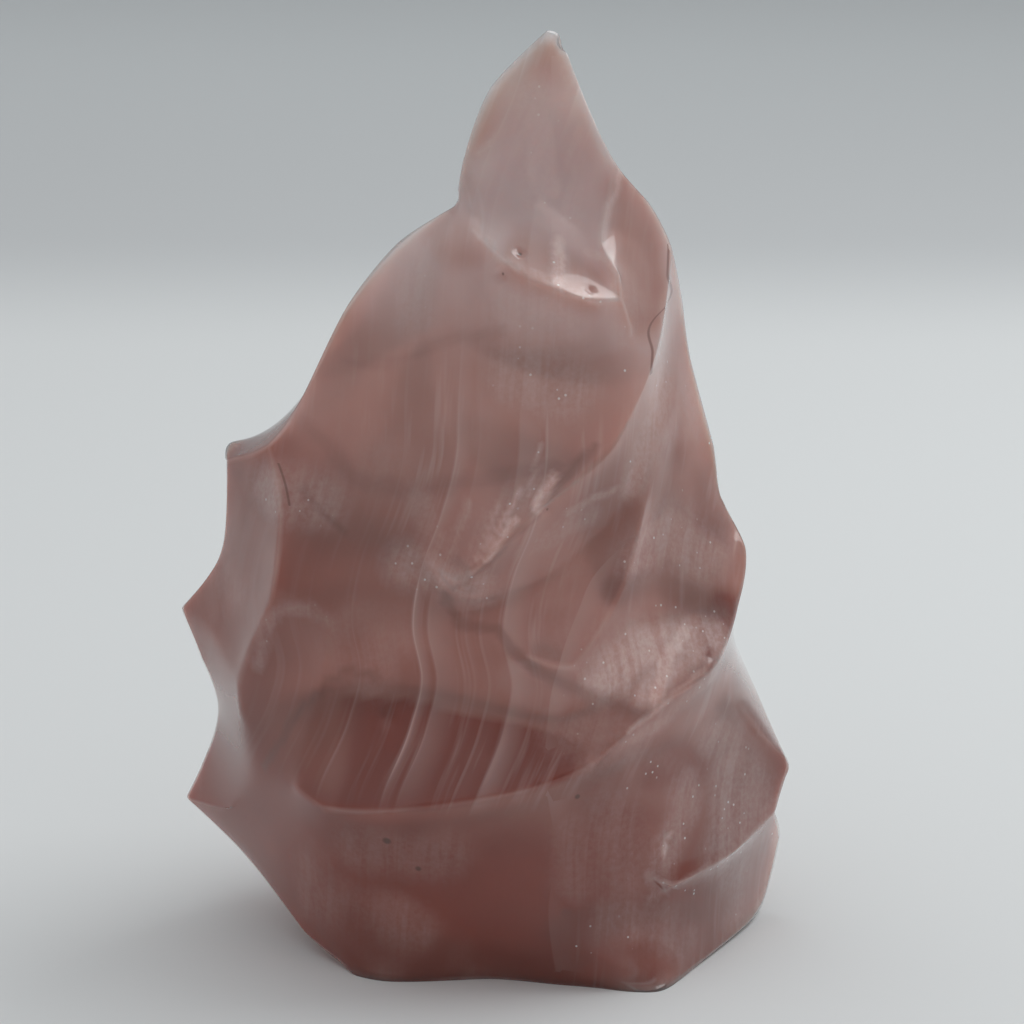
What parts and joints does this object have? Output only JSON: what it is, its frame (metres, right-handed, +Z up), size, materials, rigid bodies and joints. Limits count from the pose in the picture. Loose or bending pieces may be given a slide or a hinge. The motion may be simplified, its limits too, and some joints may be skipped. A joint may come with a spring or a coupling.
{
  "type": "rose quartz flame carving",
  "caption": "Carved and polished flame of translucent pink rose quartz with hollow ground facets, sharp ridges and side horns, standing on a flat ground foot.",
  "frame": {"origin": "middle of the flat foot that the stone stands on", "axes": "+Z up the flame; -Y out of the broad front; +X to the right of someone facing that front"},
  "size_m": [0.1185, 0.086, 0.1755],
  "materials": {
    "rose_quartz": "polished translucent stone, milky veils inside"
  },
  "bodies": {
    "root": {"rose_quartz_flame": "rose_quartz"}
  },
  "joints": []
}
